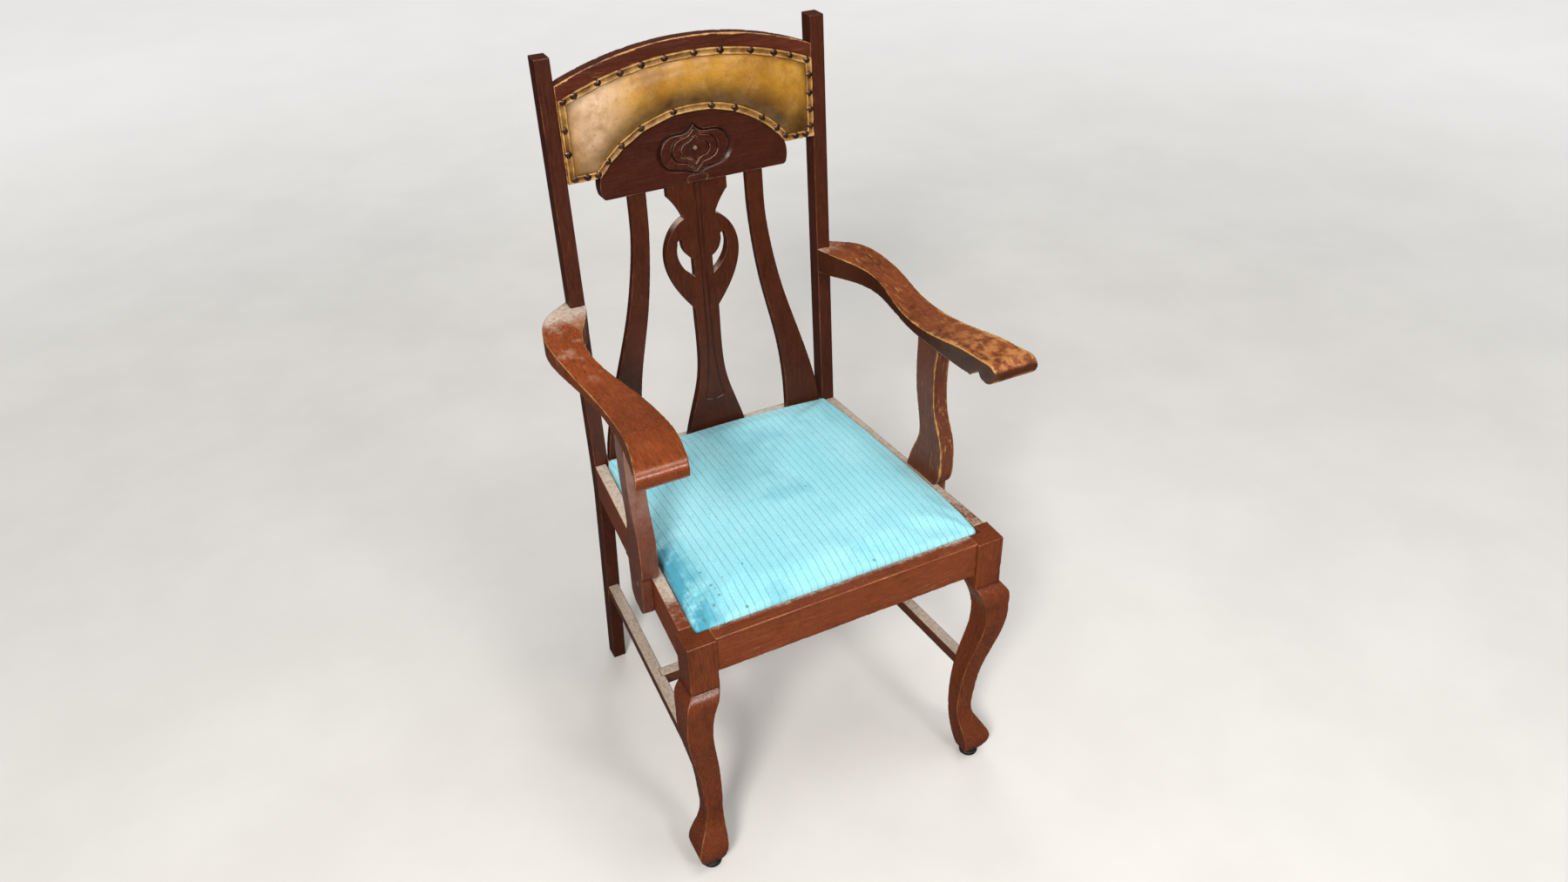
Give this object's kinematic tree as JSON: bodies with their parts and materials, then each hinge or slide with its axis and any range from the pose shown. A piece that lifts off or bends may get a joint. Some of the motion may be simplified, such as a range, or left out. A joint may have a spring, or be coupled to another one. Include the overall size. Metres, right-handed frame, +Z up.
{
  "type": "armchair",
  "caption": "Open-backed wooden armchair with cabriole front legs, scrolled arms, a carved tablet and pierced splat, a nailed leather headrest and a lift-out upholstered seat.",
  "frame": {"origin": "on the floor, under the middle of the chair's overall box", "axes": "+Z up, -Y towards the front of the chair, +X to the right as seen from in front"},
  "size_m": [0.574, 0.5364, 1.0925],
  "materials": {
    "stained_wood": "worn reddish-brown stain and varnish",
    "plain_wood": "unfinished",
    "screw_steel": "dull",
    "nail_bronze": "darkened, domed heads",
    "headrest_leather": "worn ochre leather",
    "stuffing": "hair and wadding",
    "webbing": "jute",
    "seat_fabric": "ribbed turquoise upholstery cloth",
    "glide_plastic": "matte black"
  },
  "bodies": {
    "chair_frame": {"front_leg_left": "stained_wood", "front_leg_right": "stained_wood", "back_post_left": "stained_wood", "back_post_right": "stained_wood", "front_seat_rail": "stained_wood", "side_seat_rail_left": "stained_wood", "side_seat_rail_right": "stained_wood", "back_seat_rail": "stained_wood", "side_stretcher_left": "stained_wood", "side_stretcher_right": "stained_wood", "cross_stretcher": "stained_wood", "crest_rail": "stained_wood", "carved_tablet": "stained_wood", "centre_splat": "stained_wood", "side_slat_left": "stained_wood", "side_slat_right": "stained_wood", "arm_left": "stained_wood", "arm_right": "stained_wood", "arm_support_left": "stained_wood", "arm_support_right": "stained_wood", "back_seat_bearer": "plain_wood", "front_corner_block_left": "plain_wood", "front_corner_block_right": "plain_wood", "back_corner_block_left": "plain_wood", "back_corner_block_right": "plain_wood", "corner_screws": "screw_steel", "arm_screws": "screw_steel", "support_screws": "screw_steel", "headrest_nails": "nail_bronze", "headrest_leather": "headrest_leather", "headrest_border": "headrest_leather", "headrest_stuffing": "stuffing", "front_glides": "glide_plastic"},
    "drop_in_seat": {"seat_frame_front": "plain_wood", "seat_frame_back": "plain_wood", "seat_frame_left": "plain_wood", "seat_frame_right": "plain_wood", "seat_webbing": "webbing", "seat_stuffing": "stuffing", "seat_cover": "seat_fabric", "seat_tacks": "screw_steel"}
  },
  "joints": [
    {"name": "seat_lift", "type": "slide", "parent": "chair_frame", "child": "drop_in_seat", "axis": [0, 0, 1], "range_m": [0, 0.12]}
  ]
}
